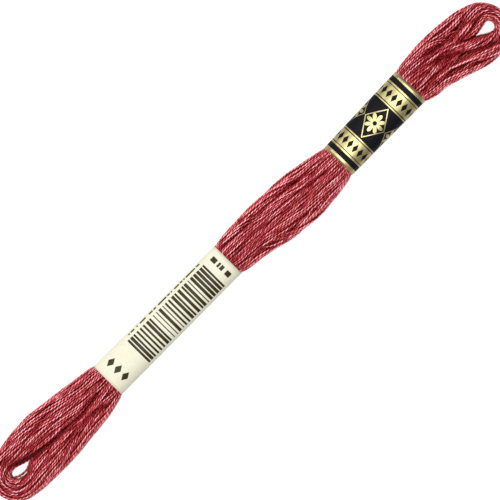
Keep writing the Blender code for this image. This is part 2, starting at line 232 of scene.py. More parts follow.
RAYS, RAY_LANES = 16, (-0.75, 0, 0.75)  # ways in which a strand looks out, and each one's lanes
RAY_RADIUS, RAY_START = 0.25, 0.05
OPEN_SHARE, OPEN_POWER = 0.42, 1.2  # share of free rays at which a strand lies fully open
SHOWN_BEYOND = 2  # stations that still show past a strand's last sight of the outside
BACK_LIGHT, GROOVE_LIGHT = 0.15, 0.2  # share of the painted light left on the inner side, and between the plies: painted shade there

# ---- the picture
PHOTO_WIDTH = 117.5  # mm that the frame shows
SKEIN_ANGLE = 43.43  # degrees that the skein's +X rises above the picture's level
PHOTO_CENTRE = (0.36, -0.49, 3.5)
LENS, SENSOR = 300, 36
FLOOR_HALF = 3  # metres
LIGHTS = (("key", (-0.2, 0.8, 0.9), 0.25, 6.3), ("top", (-0.15, 0, 2), 0.2, 38.5))  # m, m, W
SKY = 0.12


# ---- planes across the skein
def eased(xs, values, x):
    """The values at x between a table's entries, with no corner at them."""
    xs, values, x = (np.asarray(item, float) for item in (xs, values, x))
    slopes = np.zeros_like(values)
    slopes[1:-1] = (values[2:] - values[:-2]) / (xs[2:] - xs[:-2])
    x = np.clip(x, xs[0], xs[-1])
    k = np.clip(np.searchsorted(xs, x, side="right") - 1, 0, len(xs) - 2)
    span = xs[k + 1] - xs[k]
    f = (x - xs[k]) / span
    return ((2 * f ** 3 - 3 * f ** 2 + 1) * values[k] + (f ** 3 - 2 * f ** 2 + f) * span * slopes[k]
            + (3 * f ** 2 - 2 * f ** 3) * values[k + 1] + (f ** 3 - f ** 2) * span * slopes[k + 1])


def even_angles(count):
    """So many angles, evenly round a full turn."""
    return math.tau * np.arange(count) / count


# A loop's stations in order: upper leg, right bend, lower leg (running back), left bend.
UPPER = slice(0, LEG_PLANES)
RIGHT = slice(UPPER.stop, UPPER.stop + BEND_PLANES)
LOWER = slice(RIGHT.stop, RIGHT.stop + LEG_PLANES)
LEFT = slice(LOWER.stop, LOWER.stop + BEND_PLANES)
STATIONS = LEFT.stop
WAY_ROUND = even_angles(STATIONS)

LEG_X = np.linspace(LEFT_EYE["x"], RIGHT_EYE["x"], LEG_PLANES)
LOW, CLEFT, HIGH, GAP, SPLIT, FOOT, TOP = (
    eased(SECTIONS[:, 0], SECTIONS[:, column], LEG_X)[:, None] for column in range(1, 8))
TURN = np.arange(1, BEND_PLANES + 1) / (BEND_PLANES + 1)  # share of the way round a bend

# Each bend: its stations, its rows in the bends' planes, its eye, and which way its planes head.
BENDS = [(stations, rows, eye, np.stack([np.cos(angle), np.sin(angle)], -1)[:, None])
         for stations, rows, eye, angle in (
             (RIGHT, slice(0, BEND_PLANES), RIGHT_EYE, math.pi / 2 - math.pi * TURN),
             (LEFT, slice(BEND_PLANES, None), LEFT_EYE, -math.pi / 2 - math.pi * TURN))]


def bend_planes():
    """Eye radius, reach and height of the bends' planes: the right bend's, then the left bend's."""
    upper, lower, rows = HIGH - CLEFT, CLEFT - LOW, []
    for eye, end, first, last in ((RIGHT_EYE, -1, upper, lower), (LEFT_EYE, 0, lower, upper)):
        swell = np.sin(math.pi * TURN) ** BEND_POWER
        side = first[end] + (last[end] - first[end]) * TURN
        rows.append([np.full(BEND_PLANES, eye["radius"]), side + (eye["reach"] - side) * swell,
                     TOP[end] + (eye["height"] - TOP[end]) * swell])
    return np.concatenate(rows, axis=1)[..., None]


EYE, REACH, BEND_HEIGHT = bend_planes()

# How far the cleft lies off the line between the eyes, outwards for each leg.
LEVEL = np.zeros((STATIONS, 1))
LEVEL[UPPER] = CLEFT - np.linspace(LEFT_EYE["y"], RIGHT_EYE["y"], LEG_PLANES)[:, None]
LEVEL[LOWER] = -LEVEL[UPPER][::-1]


def hold():
    """How much of the smoothing holds at each station."""
    from_ends = np.minimum(LEG_X - LEFT_EYE["x"] - LEFT_EYE["supple"],
                           RIGHT_EYE["x"] - RIGHT_EYE["supple"] - LEG_X)
    legs = SUPPLE_HOLD + (1 - SUPPLE_HOLD) * np.clip(from_ends / HOLD_FADE, 0, 1)
    share = np.full((STATIONS, 1), SUPPLE_HOLD)
    share[UPPER, 0], share[LOWER, 0] = legs, legs[::-1]
    return share


HOLD = hold()


def by_plane(values):
    """Values at a loop's stations as those of both legs' planes, side by side, and of the bends'."""
    return (np.concatenate([values[UPPER], values[LOWER][::-1]], axis=1),
            np.concatenate([values[RIGHT], values[LEFT]]))


def by_station(legs, bends):
    """The planes' values in the order of a loop's stations."""
    count = bends.shape[1]
    return np.concatenate([legs[:, :count], bends[:BEND_PLANES],
                           legs[:, count:][::-1], bends[BEND_PLANES:]])


def signs(legs):
    """1 for the loops' places in the upper leg, and -1 in the lower one."""
    return np.repeat([1, -1], legs.shape[1] // 2)


def to_planes(out, up):
    """Places in the legs' planes (y, z), with both legs in each, and in the bends' planes (radius, z).

    out is how far each loop lies from the cleft or from the eye's middle at each station."""
    (leg_out, bend_out), (leg_up, bend_up) = by_plane(out), by_plane(up)
    legs = np.stack([CLEFT + signs(leg_out) * leg_out, leg_up], -1)
    return legs, np.stack([bend_out, bend_up], -1)


def from_planes(legs, bends):
    out = signs(legs) * (legs[..., 0] - CLEFT)
    return by_station(out, bends[..., 0]), by_station(legs[..., 1], bends[..., 1])


def furrow_depth(y):
    """How much lower the top is at y in each of the legs' planes."""
    depth = np.zeros_like(y)
    for line, deep, wide in FURROWS:
        xs, ys = np.array(line, float).T
        middle = np.interp(LEG_X, xs, ys)[:, None]
        beyond = np.maximum(np.maximum(xs[0] - LEG_X, LEG_X - xs[-1]), 0)[:, None]
        fade = np.clip(1 - beyond / FURROW_FADE, 0, 1)
        depth += deep * fade * np.exp(-((y - middle) / wide) ** 2)
    return depth


def groove_depth(radius):
    """How much lower the top is at a radius in each of the bends' planes."""
    share = (radius - EYE) / (REACH - EYE)
    width = GROOVE_WIDTH / (REACH - EYE)
    return sum(GROOVE_DEPTH * np.exp(-((share - groove) / width) ** 2) for groove in BEND_GROOVES)


def press_in(places, first, last, foot, top, pad, dip):
    """Places moved inside a superellipse from first to last across and from foot to top, and how
    far out in it they lie, from 0 at its middle to 1 at its edge."""
    middle, half = (first + last) / 2, np.maximum((last - first) / 2 - pad, LEAST_HALF)
    mid_z, half_z = (foot + top) / 2, (top - foot) / 2 - pad
    across = (places[..., 0] - middle) / half
    above = places[..., 1] - mid_z
    rise = above / np.where(above > 0, half_z - dip, half_z)
    share = (np.abs(across) ** SQUARENESS + np.abs(rise) ** SQUARENESS) ** (1 / SQUARENESS)
    squeeze = 1 / np.maximum(share, 1)
    moved = np.stack([middle + across * squeeze * half, mid_z + above * squeeze], -1)
    return moved, np.minimum(share, 1)


def press_legs_in(legs, pad, sunk):
    """Keeps both legs inside the outline, and each on its own side where they part."""
    count = legs.shape[1] // 2
    dip = furrow_depth(legs[..., 0]) + sunk
    places, share = press_in(legs, LOW, HIGH, FOOT, TOP, pad, dip)
    upper = press_in(legs[:, :count], CLEFT + GAP, HIGH, FOOT, TOP, pad, dip[:, :count])
    lower = press_in(legs[:, count:], LOW, CLEFT - GAP, FOOT, TOP, pad, dip[:, count:])
    apart, apart_share = (np.concatenate(pair, axis=1) for pair in zip(upper, lower))
    return places + (apart - places) * SPLIT[..., None], share + (apart_share - share) * SPLIT


def press_bends_in(bends, pad, sunk):
    return press_in(bends, EYE, REACH, 0, BEND_HEIGHT, pad, groove_depth(bends[..., 0]) + sunk)


def neighbours(places, count):
    """Indices of the nearest other places in each plane."""
    gaps = ((places[:, :, None, :] - places[:, None, :, :]) ** 2).sum(-1)
    own = np.arange(places.shape[1])
    gaps[:, own, own] = np.inf
    return np.argpartition(gaps, count, axis=2)[:, :, :count]


def of_neighbours(values, near):
    return values[np.arange(len(values))[:, None, None], near]


def push_apart(places, width, near, group):
    """Half of each overlap with a neighbour, as a move away from it. Loops of one group lie closer."""
    own = np.arange(places.shape[1])[None, :, None]
    away = places[:, :, None, :] - of_neighbours(places, near)
    distance = np.sqrt((away ** 2).sum(-1)) + TINY
    spread = np.where(own // group == near // group, GROUPED, UNGROUPED) if group > 1 else 1
    wanted = spread * (width[:, :, None] + of_neighbours(width, near)) / 2
    overlap = np.maximum(wanted - distance, 0)
    return (away * (overlap / distance / 2)[..., None]).sum(2)


def free_widths(parts):
    """The widths in the legs and in the bends at which so many parts fill each leg evenly."""
    leg_area = FILL * (HIGH - LOW - 2 * np.maximum(GAP, 0)) * (TOP - FOOT)
    bend_area = FILL * (REACH - EYE) * BEND_HEIGHT
    return np.sqrt(leg_area / (2 * parts) / PACKING), np.sqrt(bend_area / parts / PACKING)


def smooth_along(values, amount, rounds=1):
    for _ in range(rounds):
        values = values + amount * ((np.roll(values, 1, 0) + np.roll(values, -1, 0)) / 2 - values)
    return values


def settle(out, up, rounds, smoothing, skin, pull, sunk, group=1):
    """Presses the loops apart and into the outline, round by round, keeping them smooth.

    skin is the width kept at the outline, where the widths inside are what the room allows. pull
    moves the loops after each push, and sunk is how much further in each is held at each station."""
    free, sunk = free_widths(out.shape[1]), by_plane(sunk)
    press_kinds = (press_legs_in, press_bends_in)

    def press(planes):
        return [press_kind(places, skin / 2, low)
                for press_kind, places, low in zip(press_kinds, planes, sunk)]

    for turn in range(rounds):
        planes = to_planes(out, up)
        if turn % RENEWED == 0:
            near = [neighbours(places, NEIGHBOURS) for places in planes]
        pushed = []
        for k, (places, share) in enumerate(press(planes)):
            width = skin + (free[k] - skin) * np.clip((1 - share) / SKIN_DEPTH, 0, 1)
            pushed.append(places + PUSH * push_apart(places, width, near[k], group))
        out, up = pull(*from_planes(*pushed))
        out = smooth_along(out + LEVEL, smoothing * HOLD) - LEVEL
        planes = to_planes(out, smooth_along(up, smoothing * HOLD))
        out, up = from_planes(*(places for places, _ in press(planes)))
    return out, up


# ---- threads and strands
def bundle_guide(bundle):
    """How far out and up a bundle's middle lies at each station."""
    out, up, half = np.empty(STATIONS), np.empty(STATIONS), TOP[:, 0] / 2
    for leg, track, sign in ((UPPER, "upper", 1), (LOWER, "lower", -1)):
        rows = [()]
        for point in bundle[track]:
            rows.append((*point, *rows[-1][2:])[:3])
        xs, ys, levels = np.array(rows[1:], float).T
        out[leg] = (sign * (eased(xs, ys, LEG_X) - CLEFT[:, 0]))[::sign]
        up[leg] = (half + eased(xs, levels, LEG_X) * (half - TRACK_MARGIN))[::sign]
    for bend, rows, _, _ in BENDS:
        before, after = bend.start - 1, bend.stop % STATIONS
        reach, eye = REACH[rows, 0], EYE[rows, 0]
        first = (out[before] - eye[0]) / (reach[0] - eye[0])
        last = (out[after] - eye[0]) / (reach[-1] - eye[0])
        out[bend] = eye + (first + (last - first) * TURN) * (reach - eye)
        up[bend] = up[before] + (up[after] - up[before]) * TURN
    return out, up


def lay_threads(dice):
    """Middles of all threads at all stations, pressed apart but near their bundles' guides."""
    outs, ups = [], []
    for bundle in BUNDLES.values():
        out, up = bundle_guide(bundle)
        start = dice.uniform(0, math.tau)
        for place in even_angles(bundle["threads"]):
            angle = start + place + TURNS_OF_BUNDLE * WAY_ROUND
            outs.append(out + BUNDLE_RADIUS * np.cos(angle))
            ups.append(up + BUNDLE_RADIUS * np.sin(angle))
    guides = np.stack(outs, 1), np.stack(ups, 1)

    def towards_guides(*middles):
        return [values + GUIDE_PULL * (guide - values) for values, guide in zip(middles, guides)]

    return settle(*guides, THREAD_ROUNDS, THREAD_SMOOTHING, THREAD_WIDTH, towards_guides,
                  np.zeros_like(guides[0]))


def waves(dice, count, frequencies):
    """Smooth closed noise along each of so many loops, about 1 high."""
    total = np.zeros((STATIONS, count))
    for _ in range(WAVE_TERMS):
        frequency = dice.integers(*frequencies, count)
        total += np.sin(WAY_ROUND[:, None] * frequency + dice.uniform(0, math.tau, count))
    return total / math.sqrt(WAVE_TERMS)


def lay_strands(dice):
    """Middles of all strands at all stations."""
    thread_out, thread_up = lay_threads(dice)
    threads = thread_out.shape[1]
    count = threads * STRANDS
    start = dice.uniform(0, math.tau, (1, threads, 1))
    twist = dice.integers(*TURNS_OF_THREAD, (1, threads, 1)) * dice.choice([-1, 1], (1, threads, 1))
    angle = start + twist * WAY_ROUND[:, None, None] + even_angles(STRANDS)
    out = (thread_out[:, :, None] + THREAD_RADIUS * np.cos(angle)).reshape(STATIONS, count)
    up = (thread_up[:, :, None] + THREAD_RADIUS * np.sin(angle)).reshape(STATIONS, count)
    out += WAVE_HEIGHT * waves(dice, count, STRAND_WAVES)
    up += WAVE_HEIGHT * waves(dice, count, STRAND_WAVES)
    sunk = np.repeat(SINK * np.maximum(waves(dice, threads, THREAD_WAVES), 0), STRANDS, axis=1)
    sunk += STRAND_SINK * np.maximum(waves(dice, count, STRAND_WAVES), 0)

    def keep_together(*middles):
        """Draws a strand that strays from its thread back to it."""
        grouped = [values.reshape(STATIONS, threads, STRANDS) for values in middles]
        away = [values - values.mean(2, keepdims=True) for values in grouped]
        far = np.sqrt(away[0] ** 2 + away[1] ** 2) + TINY
        back = THREAD_PULL * np.maximum(far - THREAD_REACH, 0) / far
        return [(values - back * part).reshape(STATIONS, count) for values, part in zip(grouped, away)]

    return settle(out, up, STRAND_ROUNDS, STRAND_SMOOTHING, SURFACE_WIDTH, keep_together, sunk, STRANDS)


def in_space(out, up):
    """Points of all loops, (station, loop, xyz)."""
    points = np.empty(out.shape + (3,))
    points[..., 2] = up
    points[UPPER, :, 0], points[UPPER, :, 1] = LEG_X[:, None], CLEFT + out[UPPER]
    points[LOWER, :, 0], points[LOWER, :, 1] = LEG_X[::-1, None], CLEFT[::-1] - out[LOWER]
    for bend, _, eye, heading in BENDS:
        points[bend, :, :2] = (eye["x"], eye["y"]) + out[bend][..., None] * heading
    return points


def drawn_widths(out, up):
    """Width of each strand at each station, from the room its three nearest neighbours leave."""
    room = []
    for places in to_planes(out, up):
        away = places[:, :, None, :] - of_neighbours(places, neighbours(places, 3))
        room.append(np.sqrt((away ** 2).sum(-1)).mean(2))
    return smooth_along(np.clip(by_station(*room), NARROWEST, WIDEST), *WIDTH_SMOOTHING)


def look_out(places):
    """The share of the rays from each strand within its plane that nothing blocks, and the way they
    point on average."""
    places = places.astype(np.float32)
    share = np.zeros(places.shape[:2], np.float32)
    way = np.zeros(places.shape, np.float32)
    for angle in even_angles(RAYS):
        ray = np.array([math.cos(angle), math.sin(angle)], np.float32)
        ahead = places @ ray
        beside = places @ np.array([-math.sin(angle), math.cos(angle)], np.float32)
        in_front = ahead[:, None, :] > ahead[:, :, None] + RAY_START
        sideways = beside[:, None, :] - beside[:, :, None]
        for lane in RAY_LANES:
            free = ~(in_front & (np.abs(sideways - lane * RAY_RADIUS) < RAY_RADIUS)).any(2)
            share += free
            way += free[..., None] * ray
    return share / (RAYS * len(RAY_LANES)), way


def exposure(out, up):
    """What shows of each loop at each station, how open it lies (0 to 1), and which way; the openness
    and the way set the painted shade and highlights.
    """
    share, flat_way = (by_station(*pair) for pair in zip(*map(look_out, to_planes(out, up))))
    steps = range(-SHOWN_BEYOND, SHOWN_BEYOND + 1)
    shown = np.any([np.roll(share > 0, step, 0) for step in steps], axis=0)
    way = np.zeros(share.shape + (3,))
    way[..., 1:] = flat_way
    for bend, _, _, heading in BENDS:
        way[bend, :, :2] = flat_way[bend, :, :1] * heading
    openness = np.clip(share / OPEN_SHARE, 0, 1) ** OPEN_POWER
    return shown, smooth_along(openness, *OPEN_SMOOTHING), smooth_along(way, *OPEN_SMOOTHING)


def outside_bands(x):
    """Flags of what isn't deep inside a band."""
    return np.all([(x < band["x0"] + BURIED) | (x > band["x1"] - BURIED)
                   for band in BANDS.values()], axis=0)


def runs_of(flags):
    """(first, count) of each stretch of flagged stations on a closed loop."""
    if flags.all():
        return [(0, len(flags) + 1)]
    begin = int(np.argmin(flags))
    turned = np.concatenate([[False], np.roll(flags, -begin), [False]])
    edges = np.flatnonzero(np.diff(turned.astype(int)))
    return [((begin + a) % len(flags), b - a) for a, b in zip(edges[::2], edges[1::2])]


# ---- strands as meshes
def to_scene(name, data):
    """A new object in the scene."""
    item = bpy.data.objects.new(name, data)
    bpy.context.scene.collection.objects.link(item)
    return item


def halved(quads):
    """Both triangles of each quad."""
    return np.concatenate([quads[:, [0, 1, 2]], quads[:, [0, 2, 3]]])


class Strips:
    """Collects tubes into one mesh, each with its own strip of the bake's map."""

    STRIP, PITCH = 1.7, 1.2  # mm of the map for a strand's girth, and the rows' pitch in strips
    ROW, SPACE = 66, 0.5  # mm of strand in one row of the map, and between two strands

    def __init__(self):
        self.points, self.faces, self.maps = [], [], []
        self.tints, self.crests, self.fibres = [], [], []
        self.used, self.row, self.column, self.triangles = 0, 0, 0, 0

    def add(self, rings, along, tint, crests):
        """rings is (ring, side, xyz), along each ring's place, and the last argument each point's
        painted light, from painted shade at 0 to a painted highlight at 1.
        """
        count, sides = rings.shape[:2]
        ring, side = np.meshgrid(np.arange(count - 1), np.arange(sides), indexing="ij")
        here = self.used + ring * sides + side
        beside = self.used + ring * sides + (side + 1) % sides
        quads = np.stack([here, beside, beside + sides, here + sides], -1).reshape(-1, 4)
        fan = np.stack([np.zeros(sides - 2, int), np.arange(2, sides), np.arange(1, sides - 1)], -1)
        last = self.used + (count - 1) * sides
        triangles = np.concatenate([halved(quads), self.used + fan, last + fan[:, ::-1]])

        if self.column + along[-1] > self.ROW:
            self.row, self.column = self.row + 1, 0
        u = self.column + along
        v = self.row * self.STRIP * self.PITCH + self.STRIP * np.arange(sides + 1) / sides
        square = (0, 0), (0, 1), (1, 1), (1, 0)
        corners = [np.stack([u[ring + a], v[side + b]], -1) for a, b in square]
        caps = np.broadcast_to((u[0], v[0]), (2 * len(fan), 3, 2))
        self.maps.append(np.concatenate([halved(np.stack(corners, axis=2).reshape(-1, 4, 2)), caps]))
        self.column += along[-1] + self.SPACE

        turn = even_angles(sides) + along[:, None] / FIBRE_TURN
        start = np.broadcast_to(along[:, None] + FIBRE_OFFSET * len(self.fibres), turn.shape)
        fibres = np.stack([start, FIBRE_SPREAD * np.cos(turn), FIBRE_SPREAD * np.sin(turn)], -1)
        self.fibres.append(fibres.reshape(-1, 3))
        self.faces.append(triangles)
        self.points.append(rings.reshape(-1, 3))
        self.tints.append(np.full(count * sides, tint))
        self.crests.append(crests.ravel())
        self.used += count * sides
        self.triangles += len(triangles)

    def to_object(self, name, material):
        points, faces, places = map(np.concatenate, (self.points, self.faces, self.maps))
        mesh = bpy.data.meshes.new(name)
        mesh.from_pydata((points * MM).tolist(), [], faces.tolist())
        mesh.shade_smooth()
        places /= max(self.ROW, places[..., 1].max() + self.STRIP)
        mesh.uv_layers.new(name="OFBake").data.foreach_set("uv", places.astype(np.float32).ravel())
        # The "crest" attribute holds the painted light: painted shade between and under strands,
        # painted highlights on open ply crests.
        for label, kind, field, parts in (("tint", "FLOAT", "value", self.tints),
                                          ("crest", "FLOAT", "value", self.crests),
                                          ("fibre", "FLOAT_VECTOR", "vector", self.fibres)):
            values = np.concatenate(parts).astype(np.float32)
            mesh.attributes.new(label, kind, "POINT").data.foreach_set(field, values.ravel())
        mesh.materials.append(material)
        return to_scene(name, mesh)


def fine_points(values):
    """Closed Catmull-Rom curves through values (station, loop, ...), with FINE_STEPS to a station."""
    before, after, later = (np.roll(values, k, 0) for k in (1, -1, -2))
    parts = []
    for t in np.arange(FINE_STEPS) / FINE_STEPS:
        parts.append(0.5 * (2 * values + (after - before) * t
                            + (2 * before - 5 * values + 4 * after - later) * t ** 2
                            + (3 * values - before - 3 * after + later) * t ** 3))
    return np.stack(parts, 1).reshape((-1,) + values.shape[1:])


def lengths_along(points):
    """The length from the first point to each."""
    return np.concatenate([[0], np.cumsum(np.linalg.norm(np.diff(points, axis=0), axis=1))])


def resampled(values, step):
    """Rows of values (x, y, z, ...) an even step apart, and the length to each."""
    length = lengths_along(values[:, :3])
    count = max(int(round(length[-1] / step)), 3)
    along = np.linspace(0, length[-1], count + 1)
    return np.stack([np.interp(along, length, column) for column in values.T], 1), along


def ply_rings(points, width, along, start, pitch, twisted):
    """Rings of a strand, as two plies that turn about each other or as a plain round, the way that
    each point faces, and how near each of a ring lies to the crest of its ply (0 to 1)."""
    tangent = np.gradient(points, axis=0)
    tangent /= np.linalg.norm(tangent, axis=1)[:, None]
    beside = np.cross(tangent, (0, 0, 1))
    beside /= np.linalg.norm(beside, axis=1)[:, None]
    above = np.cross(beside, tangent)
    angle = even_angles(RING_SIDES if twisted else PLAIN_SIDES)
    shape, crest = np.full(len(angle), PLAIN_RADIUS), np.full(len(angle), PLAIN_CREST)
    if twisted:
        shape = (PLY_OFFSET * np.abs(np.cos(angle))
                 + np.sqrt(PLY_RADIUS ** 2 - (PLY_OFFSET * np.sin(angle)) ** 2))
        crest = (shape - shape.min()) / (shape.max() - shape.min())
        angle = angle + (start + math.tau * along / pitch)[:, None]
    reach = shape * width[:, None] / 2
    outward = (np.cos(angle)[..., None] * beside[:, None, :]
               + np.sin(angle)[..., None] * above[:, None, :])
    return points[:, None, :] + reach[..., None] * outward, outward, crest


def painted_light(outward, crest, openness, way):
    """The painted light of each point of a strand's rings: 0, full painted shade, where it is hidden,
    and 1, a painted highlight, on an open crest.
    """
    way = way / (np.linalg.norm(way, axis=1)[:, None] + TINY)
    facing = np.clip((outward * way[:, None, :]).sum(2), 0, 1)
    return (openness[:, None] * (BACK_LIGHT + (1 - BACK_LIGHT) * facing)
            * (GROOVE_LIGHT + (1 - GROOVE_LIGHT) * crest))


def stretch(fine, first, count):
    """The fine points of a run of stations on a closed loop."""
    return fine[(np.arange((count - 1) * FINE_STEPS + 1) + first * FINE_STEPS) % len(fine)]


def add_stray_strand(strips):
    """The strand across the left eye."""
    length = np.arange(len(STRAY_STRAND))
    finer = np.linspace(0, length[-1], STRAY_STEPS)
    route = np.stack([eased(length, column, finer) for column in np.array(STRAY_STRAND).T], 1)
    line, along = resampled(route, RING_STEP)
    width, openness = (np.full(len(line), value) for value in (STRAY_WIDTH, STRAY_OPENNESS))
    rings, outward, crest = ply_rings(line, width, along, 0, PLY_PITCH, True)
    # Painted light as if its open side faced straight up.
    way = np.broadcast_to((0, 0, 1), line.shape)
    strips.add(rings, along, 0, painted_light(outward, crest, openness, way))


def zone_of(x):
    if x < BANDS["cream_band"]["x0"] + BURIED + ZONE_MARGIN:
        return "left_loop"
    if x > BANDS["gilt_band"]["x1"] - BURIED - ZONE_MARGIN:
        return "right_loop"
    return "middle"


def build_strands(material):
    """All strands that show, as twisted tubes, and plain tubes for those under them."""
    dice = np.random.default_rng(SEED)
    out, up = lay_strands(dice)
    shown, openness, way = exposure(out, up)
    points = in_space(out, up)
    free = outside_bands(points[..., 0])
    fine = fine_points(np.concatenate(
        [points, way, drawn_widths(out, up)[..., None], openness[..., None]], axis=2))
    count = out.shape[1]
    tints = np.repeat(dice.normal(0, THREAD_TINT, count // STRANDS), STRANDS)
    tints = TINT * (tints + dice.normal(0, STRAND_TINT, count))
    starts, pitches = dice.uniform(*PLY_START, count), PLY_PITCH * dice.uniform(*PITCH_RANGE, count)
    full, current = [], {}
    for loop in range(count):
        for twisted, flags in ((True, shown & free), (False, ~shown & free)):
            for first, stations in runs_of(flags[:, loop]):
                if stations < 2:
                    continue
                line, along = resampled(stretch(fine[:, loop], first, stations),
                                        RING_STEP if twisted else PLAIN_STEP)
                rings, outward, crest = ply_rings(
                    line[:, :3], line[:, 6], along, starts[loop], pitches[loop], twisted)
                zone = (zone_of(line[len(line) // 2, 0]) if twisted else "inner") + "_strands"
                if zone in current and current[zone].triangles > FULL_PIECE:
                    full.append((zone, current.pop(zone)))
                strips = current.setdefault(zone, Strips())
                # Each ring point gets painted shade and highlight from its openness, its way out and
                # its ply crest.
                strips.add(rings, along, tints[loop], painted_light(outward, crest, line[:, 7], line[:, 3:6]))
    add_stray_strand(current["left_loop_strands"])
    pieces, counts = [], {}
    for zone, strips in full + sorted(current.items()):
        counts[zone] = counts.get(zone, 0) + 1
        pieces.append(strips.to_object(f"{zone}_{counts[zone]}", material))
    return pieces


# ---- materials
COTTON_COLOURS = (  # painted light: from painted shade deep between strands to a painted highlight on a lit crest
    (0, (0.045, 0.0003, 0.0005)), (0.2, (0.22, 0.006, 0.009)), (0.45, (0.51, 0.064, 0.074)),
    (0.7, (0.82, 0.215, 0.234)), (0.92, (1, 0.51, 0.54)))
PATCH_STRETCH, PATCH_SCALE = (0.45, 1.5, 1.2), 1000  # of the patches where the painted highlights are brighter and dimmer
PATCH_GAIN, PATCH_BASE = 3.5, -0.47
FIBRE_SCALE, FIBRE_GAIN = 1.6, 0.36

# The cream band's print, with its marks in random order: where they lie along it and round it, and
# their module, start and inked share.
STRIPES = (9.8, 35.6), (-4.4, 3.35), (0.26, 3, 0.6)
DASH_LINE = (11, 34.5), (4.25, 4.8), (0.38, 40, 0.68)
DASH_COLUMN = (36.9, 38.2), (-3.3, 3.1), (0.3, 90, 0.68)
LOZENGES_AROUND, LOZENGES_ALONG = (-3.7, 3.5), 3.6
LOZENGE_PITCH, LOZENGE_SIZE = (2.4, 0.1), (1.35, 0.85)

# The gilt band's: stripes and beads, from either end, and the lattice round its middle.
END_STRIPES = (1, 2.3), (2.75, 2.95), (6.6, 6.85)
BEADS_ALONG, BEAD_PITCH, BEAD_SIZE = 4.75, (1.65, 0.825), (1.25, 0.62)
LATTICE_HALF, LATTICE_PITCH, ROSETTE, ROSETTE_EYE = 5, (6.6, 0), 2.5, 0.22  # its eye's share
LATTICE_OUTER, LATTICE_INNER = (4.7, 3.2), (4.3, 2.93)


class Paint:
    """A material and its nodes."""

    def __init__(self, name):
        self.material = bpy.data.materials.new(name)
        self.material.use_nodes = True
        self.tree = self.material.node_tree

    def fill(self, node, inputs):
        """Gives a node's inputs their numbers, colours or links from other nodes."""
        for key, value in inputs.items():
            if isinstance(value, Value):
                self.tree.links.new(value.socket, node.inputs[key])
            else:
                node.inputs[key].default_value = value

    def finished(self, inputs):
        self.fill(self.tree.nodes["Principled BSDF"], inputs)
        return self.material

    def node(self, kind, output, inputs, **settings):
        """An output of a new node."""
        node = self.tree.nodes.new("ShaderNode" + kind)
        for key, value in settings.items():
            setattr(node, key, value)
        self.fill(node, inputs)
        return Value(self, node.outputs[output])

    def math(self, operation, *values):
        return self.node("Math", 0, dict(enumerate(values)), operation=operation)

    def point_value(self, name, output="Fac"):
        return self.node("Attribute", output, {}, attribute_name=name)

    def noise(self, scale, detail, vector=None):
        """Noise over the piece, or over a vector."""
        vector = vector or self.node("TexCoord", "Object", {})
        return self.node("TexNoise", "Fac", {"Vector": vector, "Scale": scale, "Detail": detail})

    def ramp(self, value, stops):
        ramp = self.node("ValToRGB", "Color", {"Fac": value})
        elements = ramp.socket.node.color_ramp.elements
        for k, (position, colour) in enumerate(stops):
            stop = elements[k] if k < 2 else elements.new(position)
            stop.position, stop.color = position, (*colour, 1)
        return ramp

    def mottled(self, scale, detail, dark, light):
        """Fine noise, and the colour that it turns from dark to light."""
        mottle = self.noise(scale, detail)
        return mottle, self.ramp(mottle, ((0.3, dark), (0.7, light)))

    def mixed(self, share, first, second):
        """The colour first, turning to the plain colour second with the share."""
        return self.node("Mix", 2, {0: share, 6: first, 7: (*second, 1)}, data_type="RGBA")

    def bump(self, height, strength, distance):
        """The shader's normal for a height, with the distance in millimetres."""
        inputs = {"Height": height, "Strength": strength, "Distance": distance * MM}
        return self.node("Bump", "Normal", inputs)

    def print_place(self):
        """Where a point lies on a band's print (mm): from its left end, and round from its top."""
        place = self.node("UVMap", "UV", {}, uv_map="print")
        return [self.node("SeparateXYZ", axis, {0: place}) for axis in "XY"]


class Value:
    """A number at each point, worked out by a material's nodes. A condition is 1 where it holds."""

    def __init__(self, paint, socket):
        self.paint, self.socket = paint, socket

    def math(self, operation, *others):
        return self.paint.math(operation, self, *others)

    def __invert__(self):
        return self.paint.math("SUBTRACT", 1, self)


for sign, operation in {"add": "ADD", "sub": "SUBTRACT", "mul": "MULTIPLY", "truediv": "DIVIDE",
                        "mod": "FLOORED_MODULO", "abs": "ABSOLUTE", "lt": "LESS_THAN",
                        "gt": "GREATER_THAN", "and": "MULTIPLY", "or": "MAXIMUM"}.items():
    setattr(Value, f"__{sign}__", partialmethod(Value.math, operation))


def inside(value, low, high):
    return (value > low) & (value < high)


def tiled(value, pitch, middle):
    """Distance from the middle of a repeat."""
    return (value + (pitch / 2 - middle)) % pitch - pitch / 2


def cell(value, module, start):
    """The number of the cell that a value lies in, with cells a module wide."""
    return value.math("MULTIPLY_ADD", 1 / module, start).math("FLOOR")


def scattered(value, module, start, share):
    """A share of the cells, picked at random."""
    place = cell(value, module, start)
    return place.paint.node("TexWhiteNoise", "Value", {"W": place}, noise_dimensions="1D") < share


def uneven_bars(value, module, start, share):
    """Bars one to three modules wide: of every four cells one is inked, one is bare, and the two
    between them are inked at random."""
    place = cell(value, module, start) % 4
    always, never = (place.math("COMPARE", which, 0.1) for which in (1, 3))
    return (scattered(value, module, start, share) | always) & ~never


def lozenge(off, aside, long, wide):
    """A lozenge so long and wide each way from its middle."""
    return abs(off) / long + abs(aside) / wide < 1


def rosette(off, aside, radius):
    """The eight petals of a rosette, without its eye."""
    reach = (off * off + aside * aside).math("SQRT")
    petal = abs((aside.math("ARCTAN2", off) * 4).math("COSINE"))
    return (reach < petal.math("POWER", 0.5) * radius) & (reach > ROSETTE_EYE * radius)


